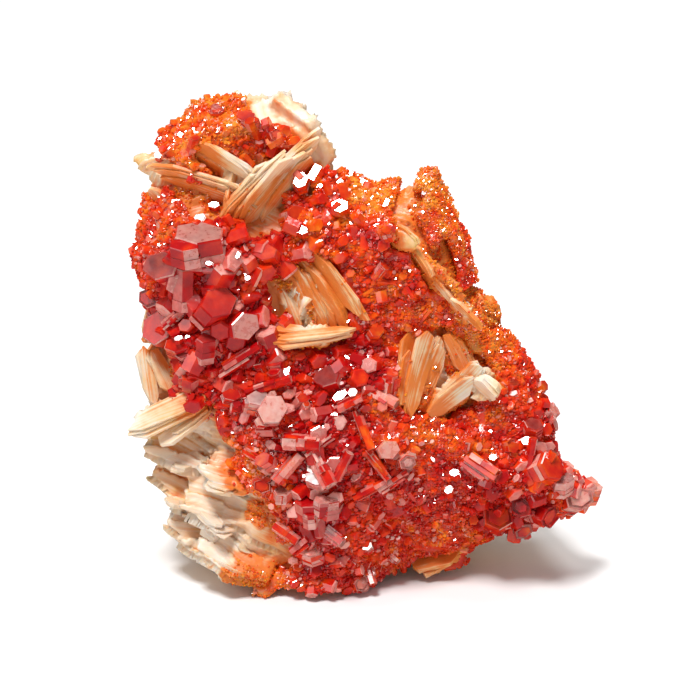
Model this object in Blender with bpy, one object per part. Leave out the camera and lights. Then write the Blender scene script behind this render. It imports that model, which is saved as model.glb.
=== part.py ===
"""Vanadinite on barite matrix: a hand specimen that stands on a broken base.

A lump of bladed barite leans back a little and carries crusts of vanadinite on its
show face. The barite and its blades grew as one piece. The vanadinite is three crusts,
parted by bare barite, each with its crystals grown into it.

Points are given on the show face in millimetres: across to the right, up the face, and
deep behind it. face_point() turns them into world metres, +Z up, with the origin at the
middle of the footprint.
"""

import math
import random

import bmesh
import bpy
from mathutils import Matrix, Vector, noise
from mathutils.bvhtree import BVHTree

MM = 0.001
LEAN = math.radians(20)  # how far the show face leans back from upright
FACE_ORIGIN = Vector((-2.25, -13.9, 0.0))  # the lowest front point, from the footprint's middle

CRUST = 1.2  # thickness of the vanadinite crusts
GAP = 0.3  # clearance kept between barite and vanadinite
BED = 0.1  # further room under a crust, where its slab and the barite bend differently
RIM_DEEP = 7.0  # how far behind the face its rim lies
BACK_AT_FOOT = 30.0  # world depth of the back at the foot
BACK_AT_TOP = 25.5  # and at the crown
HEIGHT = 65.0  # height of the outline, measured up the face
FACE_FORWARD = 0.12  # the face stands this much steeper than the lean
ROUGH_RISE = 1.5  # small lumps all over, this high
ROUGH_SIZE = 4.5  # and this far apart
BACK_ROUGH_RISE = 3.0  # broad lumps on the back, this high
BACK_ROUGH_SIZE = 9.0  # and this far apart
SMOOTH_OVER = 5  # outline points either way that even out the folds on the back
RINGS = 16  # rings of the body, half of them on the face
THINNED = {1: 6, 2: 3, 3: 2}  # how many points are made one in the smallest rings
SORT_ALONG = Vector((1.0, 3.7, 11.3))  # faces are put in order along this, so that builds repeat

MIDDLE = Vector((-1.0, 30.0))  # the point that every stretch of the outline can be seen from
OUTLINE = [  # from the right, anticlockwise
    (25.2, 26.5), (23.8, 30.2), (22.4, 32.8), (20.7, 35.6), (18.5, 38.5), (16.3, 41.5),
    (15.5, 46.2), (14.3, 49.5), (12.5, 52.8), (11.3, 55.8), (8.7, 55.8), (6.0, 54.4),
    (3.5, 54.0), (1.5, 54.6), (-0.7, 55.5), (-3.2, 59.5), (-6.0, 63.0), (-8.5, 65.2),
    (-13.5, 65.3), (-16.5, 64.3), (-20.3, 64.0), (-22.3, 61.5), (-25.3, 59.5),
    (-26.8, 56.5), (-26.6, 52.5), (-27.0, 48.5), (-28.0, 44.5), (-27.4, 41.6),
    (-25.2, 38.5), (-25.0, 34.5), (-25.6, 31.0), (-25.2, 27.5), (-25.0, 24.0),
    (-25.6, 21.0), (-26.4, 18.5), (-24.8, 16.1), (-22.5, 13.5), (-23.6, 10.6),
    (-22.0, 8.2), (-19.3, 5.6), (-16.0, 2.8), (-13.0, 1.2), (-8.4, 1.0), (-4.0, 0.4),
    (-1.2, 0.8), (1.0, 1.5), (3.5, 2.6), (6.3, 4.0), (10.0, 4.6), (14.0, 5.0),
    (18.0, 7.4), (20.0, 8.6), (22.5, 8.6), (25.0, 10.4), (28.0, 10.8), (30.6, 12.8),
    (31.4, 15.2), (28.6, 17.0), (26.8, 18.6), (26.2, 21.5), (26.0, 23.8),
]
# Swells and hollows of the show face: across, up, radius, rise towards the viewer.
LUMPS = [
    (-18.0, 43.0, 8.0, 3.0), (-11.0, 24.0, 7.0, 1.5), (-1.5, 18.5, 9.0, 3.0),
    (-5.0, 38.5, 4.5, -2.6), (11.0, 30.0, 5.5, -3.2), (9.5, 43.0, 4.5, 1.2),
    (14.0, 37.0, 4.0, 1.2), (-11.5, 52.5, 5.0, -3.0), (-20.0, 56.5, 5.0, 1.4),
    (20.5, 17.0, 6.5, 2.4), (-2.5, 6.5, 6.0, 1.5), (7.5, 8.5, 4.5, -2.0),
    (16.0, 9.6, 4.5, -2.2), (24.0, 10.5, 4.0, -1.6), (2.0, 46.5, 5.0, 1.5),
    (5.5, 24.0, 5.0, 1.2), (27.5, 14.0, 4.0, 1.0), (-17.0, 33.0, 4.0, 1.0),
]
FLANK_FROM = -12.0  # left of this, below FLANK_TOP, the face falls away as bare barite
FLANK_TOP = 26.0
FLANK_SLOPE = 0.55

# Regions of the show face.
CROWN_CRUST = [
    (-27.5, 55.0), (-26.5, 62.0), (-22.0, 66.0), (-15.0, 63.6), (-10.2, 62.2),
    (-7.2, 58.7), (-6.0, 56.2), (-9.5, 56.6), (-13.5, 57.5), (-15.5, 54.3), (-21.0, 54.8),
]
SHOULDER_CRUST = [
    (7.4, 46.6), (6.6, 54.2), (11.4, 57.4), (13.5, 52.5), (18.0, 46.5), (20.0, 38.8),
    (16.4, 37.4), (12.0, 42.0),
]
MAIN_CRUST = [
    (-30.0, 50.6), (-22.5, 50.6), (-17.5, 48.8), (-14.8, 47.2), (-11.2, 47.6),
    (-6.5, 51.5), (-4.0, 54.2), (0.0, 56.0), (5.2, 56.0), (5.6, 47.4), (12.0, 39.8),
    (16.4, 35.6), (19.6, 37.2), (34.0, 28.0), (34.0, -2.0), (-14.0, -2.0), (-12.0, 4.0),
    (-8.0, 6.8), (-9.6, 11.2), (-12.0, 16.5), (-15.0, 20.2), (-17.0, 24.5),
    (-22.6, 27.6), (-23.8, 31.0), (-22.8, 34.0), (-30.0, 36.5),
]
BARE_BARITE = [
    [(-9.6, 33.0), (-8.0, 42.0), (-5.2, 44.4), (-1.4, 38.8), (-0.6, 33.4)],
    [(7.0, 24.5), (6.6, 33.2), (11.5, 35.2), (18.4, 29.4), (17.0, 26.6), (12.4, 23.6)],
]

# Barite tablets: across, up, lift towards the viewer, length, width, thickness,
# heading of the long side, tip of its far end towards the viewer, roll about its length.
BLADES = [
    (-12.6, 51.4, 0.9, 11.5, 4.2, 1.1, 48, 12, 35), (-10.4, 52.6, 0.7, 11.0, 4.6, 1.1, 50, 10, 38),
    (-8.6, 53.4, 0.2, 9.5, 4.2, 1.0, 53, 8, 42), (-14.8, 53.2, 0.2, 5.0, 2.4, 0.9, 86, -8, 60),
    (-19.4, 52.8, 0.4, 13.0, 3.2, 1.0, -14, 6, 55), (-16.5, 55.2, 0.0, 9.0, 2.6, 0.8, -28, -4, 48),
    (-6.6, 59.4, -4.6, 12.0, 8.0, 1.8, -50, -4, 58), (-13.5, 63.0, -4.4, 12.0, 5.0, 1.8, 2, 0, -62),
    (-3.6, 38.8, 0.2, 10.5, 4.0, 1.1, -58, -6, 32), (-6.2, 37.6, 0.0, 8.5, 3.4, 1.0, -64, -8, 40),
    (-4.6, 34.2, 0.9, 9.0, 2.6, 1.2, 4, 0, -30), (-2.0, 41.0, -0.2, 8.0, 2.6, 0.9, -54, 4, 62),
    (10.8, 41.2, 0.5, 14.0, 3.0, 1.4, -48, 6, 58), (6.2, 46.0, 0.2, 5.0, 2.4, 1.0, -30, 10, 40),
    (8.2, 29.4, 0.6, 9.0, 3.0, 1.0, 78, -6, 48), (10.2, 28.4, 0.4, 8.5, 3.2, 1.0, 70, -4, 46),
    (12.8, 27.0, 1.2, 7.6, 3.4, 1.3, 46, 12, 24), (16.4, 28.2, 1.5, 4.0, 3.6, 1.6, -18, 8, 12),
    (14.0, 31.4, 0.2, 5.0, 2.8, 1.0, -52, -6, 40), (-22.2, 24.8, 0.4, 12.5, 3.6, 1.5, 20, 8, -34),
    (-24.4, 28.6, -0.6, 9.0, 2.8, 1.2, 96, -10, 28), (-22.0, 30.0, 0.0, 7.0, 2.6, 1.1, -58, 6, 40),
    (-24.6, 36.0, -1.4, 6.0, 2.6, 1.2, 70, 0, 20), (-20.6, 20.2, 0.2, 12.0, 7.0, 2.2, -10, 4, -28),
    (-20.6, 15.8, 0.0, 11.0, 7.0, 2.0, -24, 2, -32), (-16.4, 13.0, 0.2, 11.0, 6.5, 2.0, -14, 0, -30),
    (-18.6, 9.4, 0.0, 11.0, 7.0, 2.2, -26, 0, -34), (-14.4, 6.4, 0.2, 11.5, 6.5, 2.0, -24, 0, -36),
    (-15.4, 17.0, 0.2, 8.0, 5.0, 1.6, -30, 6, -30), (14.6, 50.8, -0.6, 8.0, 3.0, 1.0, -66, 0, 50),
    (11.0, 5.6, -0.6, 7.0, 3.0, 1.4, 14, 0, -40),
]

# Crystals of the main crust: across, up, lift, width, length, then how far the end face
# turns right and tips up from facing the viewer, and its turn about its own axis.
MAIN_CRYSTALS = [
    (-18.2, 45.4, 1.3, 7.2, 3.4, -6, 52, 10), (-22.2, 42.2, 0.9, 6.0, 4.4, -30, 18, 0),
    (-20.3, 40.2, 1.8, 3.6, 5.6, 8, 70, 20), (-24.4, 38.8, 0.4, 4.2, 3.2, -38, 6, 15),
    (-16.6, 37.6, 1.7, 5.6, 4.0, 24, 22, 30), (-13.6, 35.6, 1.3, 4.6, 3.6, 34, -8, 5),
    (-23.4, 34.8, 0.8, 4.4, 3.2, -34, 16, 20), (-21.0, 32.6, 1.0, 4.0, 3.0, -14, 26, 0),
    (-17.4, 32.8, 0.9, 3.6, 3.6, 10, 54, 25), (-15.4, 41.6, 1.2, 3.8, 3.0, 30, 40, 12),
    (-19.8, 28.6, 0.4, 2.6, 2.2, 6, 44, 0), (-14.6, 26.4, 1.1, 3.0, 3.2, 4, 62, 15),
    (-11.4, 26.0, 1.0, 3.0, 2.4, 12, 36, 0), (-9.6, 24.6, 1.4, 5.0, 2.4, 16, 28, 20),
    (-6.2, 21.2, 1.6, 5.2, 2.4, -16, 50, 0), (-10.2, 18.6, 1.4, 3.2, 3.4, -38, 10, 15),
    (-10.8, 15.6, 0.7, 2.4, 2.0, -4, 6, 0), (-8.2, 14.6, 0.9, 2.8, 1.6, 10, 56, 0),
    (-5.0, 12.8, 1.7, 4.4, 3.0, -12, 66, 10), (-2.2, 13.2, 1.7, 4.6, 3.0, 12, 64, 25),
    (-7.2, 9.4, 1.1, 4.4, 2.2, -18, 30, 0), (-1.6, 10.0, 1.0, 3.2, 2.4, 28, 34, 20),
    (-4.6, 6.8, 1.0, 3.0, 2.0, -8, 40, 0), (-4.6, 1.9, 0.4, 2.6, 2.4, -10, 14, 30),
    (-1.6, 2.1, 0.5, 2.4, 2.4, 16, 20, 0), (1.0, 2.9, 0.4, 2.2, 2.2, 24, 4, 10),
    (2.4, 6.0, 0.9, 2.6, 4.0, 14, -32, 15), (-2.4, 17.8, 1.9, 5.4, 1.6, -20, 12, 8),
    (2.2, 17.6, 2.0, 3.2, 5.6, 12, -70, 0), (4.4, 20.4, 1.5, 4.2, 2.4, 8, 24, 20),
    (6.8, 18.8, 1.4, 3.4, 2.4, 26, 6, 10), (1.4, 22.2, 1.3, 2.4, 4.8, -16, -72, 0),
    (0.6, 26.8, 1.3, 3.6, 3.0, 6, 68, 30), (-2.6, 28.6, 0.6, 5.0, 3.0, -16, 20, 0),
    (5.0, 28.4, 0.9, 2.6, 4.2, 18, 64, 10), (-6.6, 28.4, 0.8, 3.4, 4.6, 60, 34, 0),
    (-13.2, 31.0, 0.7, 2.6, 5.2, 62, 30, 15), (-9.0, 29.2, 0.5, 3.2, 3.2, -24, 46, 5),
    (-6.0, 53.0, 0.7, 2.8, 1.8, -6, 14, 0), (-1.2, 49.8, 0.9, 2.4, 1.8, -8, 16, 10),
    (-18.4, 48.2, 0.5, 2.4, 1.8, -10, 18, 0), (-23.0, 49.2, 0.2, 2.2, 1.6, -12, 18, 20),
    (-7.2, 48.4, 0.9, 3.6, 2.6, 14, 10, 0), (-5.8, 45.2, 0.7, 3.2, 2.4, 26, -6, 25),
    (-10.0, 44.0, 0.9, 3.4, 2.8, -20, 22, 0), (-10.6, 38.8, 0.6, 2.8, 2.0, -8, 18, 15),
    (4.6, 46.6, 0.8, 3.0, 2.2, -22, 20, 0), (3.6, 42.2, 0.8, 2.6, 3.4, 46, 22, 0),
    (1.0, 44.0, 0.6, 3.6, 2.2, 10, -14, 0), (3.0, 34.4, 0.9, 2.4, 2.4, 20, 30, 10),
    (13.0, 17.0, 1.2, 2.8, 2.6, -10, 48, 0), (12.4, 14.8, 1.0, 2.2, 2.2, 10, 24, 20),
    (16.8, 18.0, 1.3, 2.8, 5.0, 50, -24, 10), (19.8, 20.4, 0.9, 2.6, 2.2, -6, 30, 0),
    (24.0, 17.6, 1.5, 4.4, 3.6, 44, 20, 5), (21.8, 12.6, 1.6, 3.2, 3.8, -14, 8, 0),
    (23.8, 12.2, 1.6, 3.6, 4.4, 38, -16, 25), (18.6, 11.2, 1.2, 4.0, 2.6, 4, 20, 0),
    (22.0, 9.8, 0.9, 3.0, 2.6, 8, -22, 15), (28.4, 13.4, 1.1, 5.0, 3.4, 20, 14, 0),
    (30.2, 14.4, 0.3, 3.4, 3.4, 46, 18, 20), (26.6, 15.6, 0.8, 3.4, 2.6, 30, 40, 0),
    (25.4, 24.4, 0.5, 3.4, 2.6, 46, 12, 10), (24.2, 27.6, 0.4, 2.8, 2.2, 48, 20, 0),
    (22.6, 22.4, 0.8, 3.0, 3.0, 14, 42, 0), (20.2, 27.8, 0.7, 3.4, 2.4, 30, 26, 15),
    (14.6, 20.8, 0.6, 2.0, 2.2, 10, 50, 0), (9.4, 12.8, 0.5, 1.8, 1.8, -16, 30, 0),
]
CROWN_CRYSTALS = [
    (-24.8, 57.0, 0.4, 2.4, 1.8, -12, 16, 0), (-22.0, 56.6, 0.6, 2.2, 1.8, -6, 8, 15),
    (-19.0, 57.6, 0.7, 2.8, 2.0, 14, 30, 0), (-21.6, 60.4, 0.2, 2.0, 1.6, -24, 34, 0),
    (-12.6, 60.8, 0.6, 2.6, 2.0, -14, 32, 10), (-9.2, 58.6, 0.6, 2.4, 1.8, 26, 20, 0),
    (-16.6, 61.6, 0.3, 2.2, 1.8, 8, 42, 20),
]
SHOULDER_CRYSTALS = [
    (9.2, 50.2, 0.3, 1.8, 1.4, -10, 24, 0), (13.4, 47.0, 0.3, 1.8, 1.4, 22, 20, 0),
    (14.8, 42.8, 0.3, 1.8, 1.4, 34, 8, 10), (10.4, 53.8, 0.2, 1.6, 1.4, 12, 44, 0),
]
DRUSE_SEED = 11
DRUSE_WIDTH = (1.3, 2.1)  # small crystals that fill in between the listed ones
DRUSE_COUNT = {"vanadinite_crust": 36, "vanadinite_crown_crust": 8, "vanadinite_shoulder_crust": 7}

BARITE = ("barite", (0.86, 0.66, 0.50), 0.45)
VANADINITE = ("vanadinite", (0.62, 0.04, 0.015), 0.18)


def clear_scene():
    for obj in list(bpy.data.objects):
        bpy.data.objects.remove(obj)


def face_point(across, up, deep):
    """A point of the show face in world metres."""
    y = up * math.sin(LEAN) + deep * math.cos(LEAN)
    z = up * math.cos(LEAN) - deep * math.sin(LEAN)
    return (Vector((across, y, z)) + FACE_ORIGIN) * MM


def on_face(point):
    """The inverse of face_point: across, up and deep of a world point."""
    p = point / MM - FACE_ORIGIN
    up = p.y * math.sin(LEAN) + p.z * math.cos(LEAN)
    deep = p.y * math.cos(LEAN) - p.z * math.sin(LEAN)
    return Vector((p.x, up, deep))


def face_axes():
    """World directions of across, up and towards the viewer."""
    across = Vector((1, 0, 0))
    up = Vector((0, math.sin(LEAN), math.cos(LEAN)))
    viewer = Vector((0, -math.cos(LEAN), math.sin(LEAN)))
    return across, up, viewer


def face_deep(across, up):
    """Depth of the outer surface of the show face, before it rounds over at its rim."""
    deep = 1.0 - FACE_FORWARD * up
    for lump_across, lump_up, radius, rise in LUMPS:
        away = ((across - lump_across) ** 2 + (up - lump_up) ** 2) / radius**2
        deep -= rise * math.exp(-away)
    if across < FLANK_FROM:
        below = min(1.0, max(0.0, (FLANK_TOP - up) / 4.0))
        deep += FLANK_SLOPE * (FLANK_FROM - across) * below
    return deep + ROUGH_RISE * noise.noise(Vector((across, up, 0)) / ROUGH_SIZE)


def rim_deep(across, up):
    """Depth of the rim. Low on the face it stays above the ground."""
    ground = up / math.tan(LEAN)
    return min(face_deep(across, up) + RIM_DEEP, 0.9 * ground)


def back_deep(up):
    """Depth of the back, which stands nearly upright in the world."""
    share = min(1.0, max(0.0, up / HEIGHT))
    back = BACK_AT_FOOT + (BACK_AT_TOP - BACK_AT_FOOT) * share
    return (back - up * math.sin(LEAN)) / math.cos(LEAN)


def even_outline():
    """The outline without its small notches."""
    points = [Vector(point) for point in OUTLINE]
    spread = range(-SMOOTH_OVER, SMOOTH_OVER + 1)
    return [
        sum((points[(i + k) % len(points)] for k in spread), Vector((0, 0))) / len(spread)
        for i in range(len(points))
    ]


def body_skin():
    """The whole outer surface: a ball with one meridian for each point of the outline."""
    bm = bmesh.new()
    meridians = len(OUTLINE)
    bmesh.ops.create_uvsphere(bm, u_segments=meridians, v_segments=RINGS, radius=1.0)
    half = RINGS / 2
    evened = even_outline()
    grid = {}
    for vert in bm.verts:
        ring = math.acos(max(-1.0, min(1.0, vert.co.z))) / math.pi * RINGS
        turn = round(math.atan2(vert.co.y, vert.co.x) / (2 * math.pi) * meridians) % meridians
        grid[round(ring), turn] = vert
        share = min(ring, RINGS - ring) / half
        edge = Vector(OUTLINE[turn])
        if ring > half:
            edge = evened[turn].lerp(edge, share**3)
        across, up = MIDDLE.lerp(edge, share)
        rim = rim_deep(across, up)
        if ring <= half:
            face = face_deep(across, up)
            deep = rim + (face - rim) * math.sqrt(max(0.0, 1 - share**4))
        else:
            deep = rim + (back_deep(up) - rim) * math.sqrt(max(0.0, 1 - share**3))
            rough = noise.noise(Vector((across, up, deep)) / BACK_ROUGH_SIZE)
            deep += BACK_ROUGH_RISE * rough * (1 - share)
        vert.co = face_point(across, up, deep)
    thinned = {}
    for (ring, turn), vert in grid.items():
        together = THINNED.get(min(ring, RINGS - ring), 1)
        thinned[vert] = grid[ring, turn // together * together]
    bmesh.ops.weld_verts(bm, targetmap={vert: to for vert, to in thinned.items() if vert != to})
    bm.normal_update()
    bmesh.ops.recalc_face_normals(bm, faces=bm.faces)
    bm.verts.index_update()
    bm.faces.sort(key=lambda face: face.calc_center_median().dot(SORT_ALONG))
    return bm


def inside(point, region):
    """Whether a point of the face lies in a closed region, by counting crossings."""
    across, up = point
    found = False
    for (a0, u0), (a1, u1) in zip(region, region[1:] + region[:1]):
        if (u0 > up) != (u1 > up) and across < a0 + (up - u0) / (u1 - u0) * (a1 - a0):
            found = not found
    return found


def crust_of(face):
    """The crust that covers a face of the skin, or None where barite is bare."""
    across, up, deep = on_face(face.calc_center_median())
    if deep > rim_deep(across, up) + 2.5:
        return None
    here = (across, up)
    if any(inside(here, region) for region in BARE_BARITE):
        return None
    if inside(here, CROWN_CRUST):
        return "vanadinite_crown_crust"
    if inside(here, SHOULDER_CRUST):
        return "vanadinite_shoulder_crust"
    if inside(here, MAIN_CRUST):
        return "vanadinite_crust"
    return None


def crust_faces(skin):
    """Index of each covered face, with its crust. Crusts keep a row of bare faces between them."""
    covered = {face.index: crust_of(face) for face in skin.faces}
    for vert in skin.verts:
        names = {covered[f.index] for f in vert.link_faces} - {None}
        if len(names) > 1:
            for face in vert.link_faces:
                if covered[face.index] != "vanadinite_crust":
                    covered[face.index] = None
    while uncover_pinches(skin, covered):
        pass
    return covered


def uncover_pinches(skin, covered):
    """Bares the faces that hang on to a crust by one corner only. Says whether it found any."""
    found = False
    for vert in skin.verts:
        left = [face for face in vert.link_faces if covered[face.index]]
        fans = []
        while left:
            fan = [left.pop()]
            for face in fan:
                beside = [f for e in face.edges if vert in e.verts for f in e.link_faces]
                fan += [f for f in left if f in beside]
                left = [f for f in left if f not in beside]
            fans.append(fan)
        for fan in sorted(fans, key=len)[:-1]:
            found = True
            for face in fan:
                covered[face.index] = None
    return found


def hex_prism(bm, width, length):
    """A vanadinite crystal along +Z with its end faces at both ends of its length."""
    made = bmesh.ops.create_cone(
        bm, cap_ends=True, segments=6, radius1=width / 2, radius2=width / 2, depth=length
    )
    return made["verts"]


def tablet(bm, length, width, thickness):
    """A barite tablet, long along X and thin along Z, with slanted ends and sharp rims."""
    made = bmesh.ops.create_cone(bm, cap_ends=True, segments=6, radius1=0.5, radius2=0.5, depth=1)
    for vert in made["verts"]:
        vert.co.x *= length
        vert.co.y *= width * 1.155
        vert.co.z *= thickness
    return made["verts"]


def move(bm, verts, matrix):
    bmesh.ops.transform(bm, matrix=matrix, verts=verts)


def crystal_matrix(place, turn_right, tip_up, turn):
    """Puts +Z of a crystal on the direction that its end face looks in."""
    across, up, viewer = face_axes()
    yaw, pitch = math.radians(turn_right), math.radians(tip_up)
    axis = (
        across * math.sin(yaw) * math.cos(pitch)
        + up * math.sin(pitch)
        + viewer * math.cos(yaw) * math.cos(pitch)
    )
    turned = axis.to_track_quat("Z", "Y").to_matrix() @ Matrix.Rotation(math.radians(turn), 3, "Z")
    return Matrix.Translation(place) @ turned.to_4x4()


def blade_matrix(place, heading, tip, roll):
    """Lays a tablet on the face: its length along heading, its far end tipped to the viewer."""
    across, up, viewer = face_axes()
    basis = Matrix((across, up, viewer)).transposed()
    laid = (
        basis
        @ Matrix.Rotation(math.radians(heading), 3, "Z")
        @ Matrix.Rotation(-math.radians(tip), 3, "Y")
        @ Matrix.Rotation(math.radians(roll), 3, "X")
    )
    return Matrix.Translation(place) @ laid.to_4x4()


def place_on(tree, across, up, lift):
    """The point of the skin seen at across, up, raised by lift towards the viewer."""
    viewer = face_axes()[2]
    start = face_point(across, up, -60.0)
    hit = tree.ray_cast(start, -viewer)[0]
    if hit is None:
        hit = face_point(across, up, rim_deep(across, up))
    return hit + viewer * lift * MM


def as_object(name, bm, material=None):
    mesh = bpy.data.meshes.new(name)
    bm.to_mesh(mesh)
    bm.free()
    if material:
        mesh.materials.append(material)
    obj = bpy.data.objects.new(name, mesh)
    bpy.context.scene.collection.objects.link(obj)
    return obj


def combine(obj, others, operation):
    """Applies a Boolean with each of the other objects in turn, and removes them."""
    for other in others:
        modifier = obj.modifiers.new(operation.title(), "BOOLEAN")
        modifier.operation = operation
        modifier.solver = "MANIFOLD"
        modifier.object = other
        graph = bpy.context.evaluated_depsgraph_get()
        mesh = bpy.data.meshes.new_from_object(obj.evaluated_get(graph))
        obj.modifiers.clear()
        obj.data = mesh
        bpy.data.objects.remove(other)


def keep_largest(obj):
    """Drops the crumbs that a cut has parted from the piece."""
    bm = bmesh.new()
    bm.from_mesh(obj.data)
    bmesh.ops.triangulate(bm, faces=bm.faces[:])
    bmesh.ops.remove_doubles(bm, verts=bm.verts[:], dist=0.002 * MM)
    left, islands = set(bm.faces), []
    while left:
        island = [left.pop()]
        for face in island:
            walls = [edge.link_faces for edge in face.edges if len(edge.link_faces) == 2]
            beside = {f for pair in walls for f in pair} & left
            left -= beside
            island += beside
        islands.append(island)
    islands.sort(key=len)
    for island in islands[:-1]:
        bmesh.ops.delete(bm, geom=island, context="FACES")
    bm.to_mesh(obj.data)
    bm.free()


def material(name, colour, roughness):
    made = bpy.data.materials.new(name)
    made.use_nodes = True
    shader = made.node_tree.nodes["Principled BSDF"]
    shader.inputs["Base Color"].default_value = (*colour, 1.0)
    shader.inputs["Roughness"].default_value = roughness
    shader.inputs["Metallic"].default_value = 0.0
    made.diffuse_color = (*colour, 1.0)
    return made


def barite_core(skin, covered):
    """The skin, drawn in under the crusts by their thickness and the clearance."""
    bm = skin.copy()
    bm.verts.ensure_lookup_table()
    for vert in skin.verts:
        if any(covered[face.index] for face in vert.link_faces):
            inset = (CRUST + GAP + BED) * MM * vert.calc_shell_factor()
            bm.verts[vert.index].co -= vert.normal * inset
    return bm


def barite_blades(tree, clearance):
    """The blades, or with a clearance the room that the crusts leave around them."""
    blades = []
    more = 2 * clearance
    for across, up, lift, length, width, thickness, heading, tip, roll in BLADES:
        bm = bmesh.new()
        verts = tablet(bm, (length + more) * MM, (width + more) * MM, (thickness + more) * MM)
        place = place_on(tree, across, up, lift)
        move(bm, verts, blade_matrix(place, heading, tip, roll))
        blades.append(as_object("blade", bm))
    return blades


def cut_flat(obj):
    """Cuts everything below the ground off flat."""
    bm = bmesh.new()
    bm.from_mesh(obj.data)
    geometry = bm.verts[:] + bm.edges[:] + bm.faces[:]
    cut = bmesh.ops.bisect_plane(
        bm, geom=geometry, plane_co=(0, 0, 0), plane_no=(0, 0, -1), clear_outer=True
    )
    edges = [item for item in cut["geom_cut"] if isinstance(item, bmesh.types.BMEdge)]
    bmesh.ops.holes_fill(bm, edges=edges)
    bm.to_mesh(obj.data)
    bm.free()


def crust_slab(skin, covered, name):
    """A crust's bare slab: its faces of the skin, thickened inwards."""
    bm = skin.copy()
    inward = bm.verts.layers.float_vector.new("inward")
    for vert, skin_vert in zip(bm.verts, skin.verts):
        vert[inward] = -skin_vert.normal * skin_vert.calc_shell_factor()
    others = [bm_face for bm_face, face in zip(bm.faces, skin.faces) if covered[face.index] != name]
    bmesh.ops.delete(bm, geom=others, context="FACES")
    outer = bmesh.ops.extrude_face_region(bm, geom=bm.faces[:], use_keep_orig=True)["geom"]
    for vert in set(bm.verts) - set(outer):
        vert.co += vert[inward] * CRUST * MM
    bmesh.ops.recalc_face_normals(bm, faces=bm.faces)
    return bm


def half_way_down(skin):
    """The skin moved in to the middle of the crusts, which the crystals' roots end at."""
    bm = skin.copy()
    for vert, skin_vert in zip(bm.verts, skin.verts):
        vert.co -= skin_vert.normal * CRUST / 2 * MM
    return bm


def druse(skin, covered, name, count):
    """Small crystals at random places on a crust, as rows like the listed ones."""
    chance = random.Random(DRUSE_SEED)
    faces = [face for face in skin.faces if covered[face.index] == name]
    areas = [face.calc_area() for face in faces]
    rows = []
    for face in chance.choices(faces, weights=areas, k=count):
        across, up, _ = on_face(face.calc_center_median())
        width = chance.uniform(*DRUSE_WIDTH)
        turn_right, tip_up = chance.uniform(-50, 50), chance.uniform(-30, 60)
        rows.append((across, up, 0.3, width, width * 0.9, turn_right, tip_up, chance.uniform(0, 60)))
    return rows


def crystals(tree, rows):
    made = []
    for across, up, lift, width, length, turn_right, tip_up, turn in rows:
        bm = bmesh.new()
        verts = hex_prism(bm, width * MM, length * MM)
        place = place_on(tree, across, up, lift - 0.25 * length)
        move(bm, verts, crystal_matrix(place, turn_right, tip_up, turn))
        made.append(as_object("crystal", bm))
    return made


def build():
    clear_scene()
    barite, vanadinite = material(*BARITE), material(*VANADINITE)
    skin = body_skin()
    tree = BVHTree.FromBMesh(skin)
    covered = crust_faces(skin)

    matrix = as_object("barite_matrix", barite_core(skin, covered), barite)
    combine(matrix, barite_blades(tree, 0), "UNION")
    cut_flat(matrix)
    keep_largest(matrix)

    listed = {
        "vanadinite_crust": MAIN_CRYSTALS,
        "vanadinite_crown_crust": CROWN_CRYSTALS,
        "vanadinite_shoulder_crust": SHOULDER_CRYSTALS,
    }
    for name, rows in listed.items():
        rows = rows + druse(skin, covered, name, DRUSE_COUNT[name])
        crust = as_object(name, crust_slab(skin, covered, name), vanadinite)
        grown_together = crystals(tree, rows)
        combine(grown_together[0], grown_together[1:], "UNION")
        combine(grown_together[0], [as_object("bed", half_way_down(skin))], "DIFFERENCE")
        combine(crust, grown_together[:1], "UNION")
        combine(crust, barite_blades(tree, GAP), "DIFFERENCE")
        cut_flat(crust)
        keep_largest(crust)


build()
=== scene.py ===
"""The looks of a hand specimen of vanadinite: red hexagonal crystals on bladed barite."""

import math
import random

import bmesh
import bpy
import numpy as np
from mathutils import Matrix, Vector, noise
from mathutils.bvhtree import BVHTree


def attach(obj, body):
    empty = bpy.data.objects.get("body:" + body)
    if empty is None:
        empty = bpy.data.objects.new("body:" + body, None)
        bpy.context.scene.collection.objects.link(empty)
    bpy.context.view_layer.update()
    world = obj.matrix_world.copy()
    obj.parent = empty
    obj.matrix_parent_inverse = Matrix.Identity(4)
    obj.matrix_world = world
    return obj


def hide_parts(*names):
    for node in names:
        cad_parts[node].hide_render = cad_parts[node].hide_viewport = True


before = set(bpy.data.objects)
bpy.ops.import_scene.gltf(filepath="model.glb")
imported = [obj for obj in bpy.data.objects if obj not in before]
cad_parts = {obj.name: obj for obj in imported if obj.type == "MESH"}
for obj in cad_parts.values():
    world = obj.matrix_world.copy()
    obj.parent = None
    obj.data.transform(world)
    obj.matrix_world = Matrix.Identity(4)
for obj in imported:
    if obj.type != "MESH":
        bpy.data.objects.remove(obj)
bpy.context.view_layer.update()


# ---------------------------------------------------------------- The barite lump
# Cream barite that grew as blocks of parallel sheets, crossing at all angles. It was broken
# off behind and below, and the sheets stand out there as ledges. It is one piece.

MM = 0.001  # m, so that sizes can be written in mm
WELD = 0.001  # mm between two corners that are one
LEAN = math.radians(20)  # how far the show face leans back from upright
FACE_ORIGIN = Vector((-2.25, -13.9, 0.0))  # the show face's lowest point, in mm
FACE = Matrix((
    (1, 0, 0),
    (0, math.sin(LEAN), -math.cos(LEAN)),
    (0, math.cos(LEAN), math.sin(LEAN)),
))  # turns across, up and out of the show face into the world


def face_point(across, up, out=0.0):
    """A place on the show face, given in mm: across to the right, up, and out of the face."""
    return (FACE @ Vector((across, up, out)) + FACE_ORIGIN) * MM


def on_face(point):
    """The same for a point of the world: how far across, up and out of the face it lies."""
    return FACE.transposed() @ (point / MM - FACE_ORIGIN)


def merged_copy(node):
    """A copy of a CAD node with its loose triangles joined up."""
    bm = bmesh.new()
    bm.from_mesh(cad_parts[node].data)
    bmesh.ops.remove_doubles(bm, verts=bm.verts[:], dist=WELD * MM)
    return bm


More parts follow.
